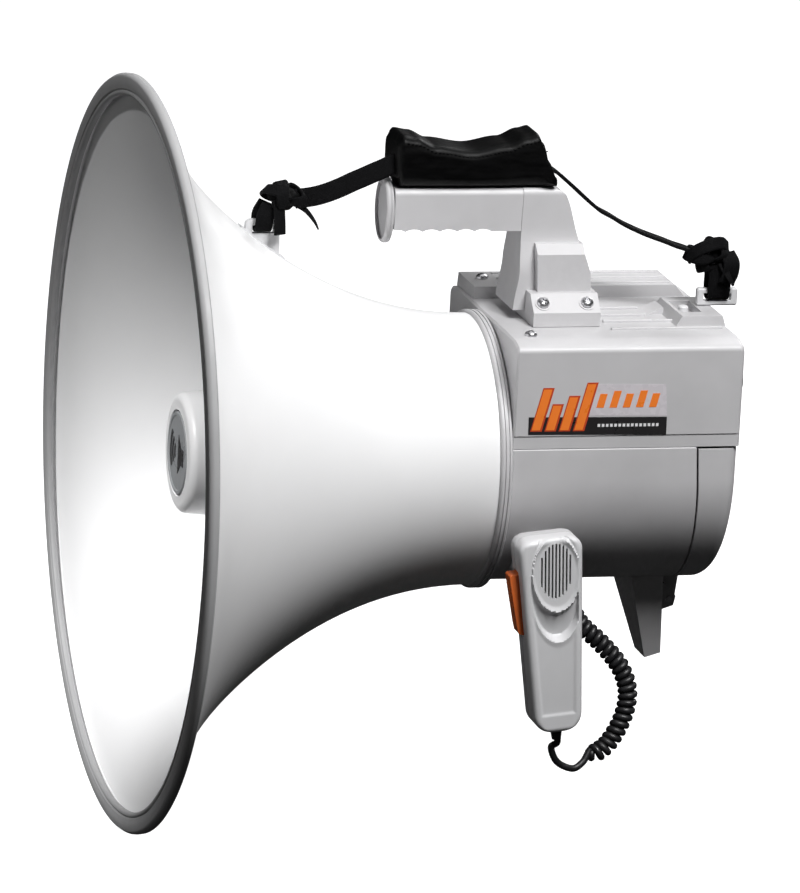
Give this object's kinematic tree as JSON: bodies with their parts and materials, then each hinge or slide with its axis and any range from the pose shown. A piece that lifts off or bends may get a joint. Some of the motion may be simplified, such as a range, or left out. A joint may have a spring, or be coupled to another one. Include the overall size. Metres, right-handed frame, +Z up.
{
  "type": "handheld megaphone",
  "caption": "Handheld megaphone with a wide flared bell, a boxed rear body, a carrying grip with a padded strap, and a fist microphone on a coiled cord.",
  "frame": {"origin": "a point on the flat front face of the rim, straight below the horn's axis, close to the rim's lowest point", "axes": "+X from the mouth to the rear along the horn's axis, +Z up towards the carrying handle, -Y the side that the microphone hangs on"},
  "size_m": [0.3745, 0.4556, 0.4556],
  "materials": {
    "bell_white": "satin white ABS",
    "rim_grey": "matt mid-grey ABS",
    "case_grey": "finely textured light grey ABS",
    "cap_grey": "finely textured pale grey ABS",
    "badge_grey": "satin grey disc",
    "black_plastic": "matt black ABS",
    "orange_plastic": "satin orange ABS",
    "steel": "plated steel",
    "strap_black": "woven black webbing",
    "pad_black": "coated black fabric over foam",
    "cord_black": "satin black cord sheath",
    "magnet": "dark ferrite",
    "diaphragm": "thin resin film",
    "cell_sleeve": "printed sleeve",
    "circuit_green": "green laminate",
    "aluminium": "plain aluminium"
  },
  "bodies": {
    "root": {"horn_bell": "bell_white", "rim_trim": "rim_grey", "neck_ring": "rim_grey", "reflector_cup": "bell_white", "nose_badge": "badge_grey", "tone_arm": "case_grey", "reflector_strut_1": "case_grey", "reflector_strut_2": "case_grey", "reflector_strut_3": "case_grey", "driver_flange": "aluminium", "diaphragm": "diaphragm", "driver_magnet": "magnet", "driver_back_plate": "steel", "strap_lug_front": "cap_grey", "upper_case": "case_grey", "lower_case": "case_grey", "stand_leg": "case_grey", "cover_hinge_pin": "steel", "battery_tray": "black_plastic", "cell_1": "cell_sleeve", "cell_2": "cell_sleeve", "cell_3": "cell_sleeve", "cell_4": "cell_sleeve", "cell_5": "cell_sleeve", "cell_6": "cell_sleeve", "circuit_board": "circuit_green", "heat_sink": "aluminium", "rear_panel": "black_plastic", "volume_pot": "steel", "dc_jack": "black_plastic", "strap_bar_rear": "cap_grey", "handle_body": "case_grey", "grip_guard": "case_grey", "handle_screw_1": "steel", "handle_screw_2": "steel", "handle_screw_3": "steel", "handle_screw_4": "steel", "case_screw_1": "steel", "case_screw_2": "steel", "shoulder_pad": "pad_black", "strap_front": "strap_black", "strap_knot_front": "strap_black", "strap_loop_front": "strap_black", "strap_rear": "strap_black", "strap_knot_rear": "strap_black", "strap_loop_rear": "strap_black", "mic_holder": "case_grey", "mic_cord": "cord_black", "coil_cord": "cord_black", "cord_gland": "black_plastic"},
    "cover": {"battery_cover": "case_grey"},
    "latch": {"cover_latch": "black_plastic"},
    "volume": {"volume_knob": "black_plastic"},
    "siren": {"siren_switch": "orange_plastic"},
    "mic": {"mic_front_shell": "cap_grey", "mic_rear_shell": "case_grey", "mic_capsule": "steel", "ptt_switch": "black_plastic"},
    "ptt": {"ptt_lever": "orange_plastic"}
  },
  "joints": [
    {"name": "cover_open", "type": "hinge", "parent": "root", "child": "cover", "pos_m": [0.345, 0, 0.1295], "axis": [0, 1, 0], "range_deg": [0, 80]},
    {"name": "latch_slide", "type": "slide", "parent": "cover", "child": "latch", "axis": [0, 0, -1], "range_m": [0, 0.004], "stiffness_N_per_m": 200},
    {"name": "volume_turn", "type": "hinge", "parent": "root", "child": "volume", "pos_m": [0.3625, -0.04, 0.2765], "axis": [1, 0, 0], "range_deg": [0, 280]},
    {"name": "siren_rock", "type": "hinge", "parent": "root", "child": "siren", "pos_m": [0.3612, 0.003, 0.2765], "axis": [0, 1, 0], "range_deg": [-12, 0]},
    {"name": "mic_lift", "type": "slide", "parent": "root", "child": "mic", "axis": [0, 0, 1], "range_m": [0, 0.03]},
    {"name": "ptt_press", "type": "hinge", "parent": "mic", "child": "ptt", "pos_m": [0.2278, -0.1, 0.1383], "axis": [0, 1, 0], "range_deg": [0, 5], "stiffness_Nm_per_rad": 0.5}
  ]
}
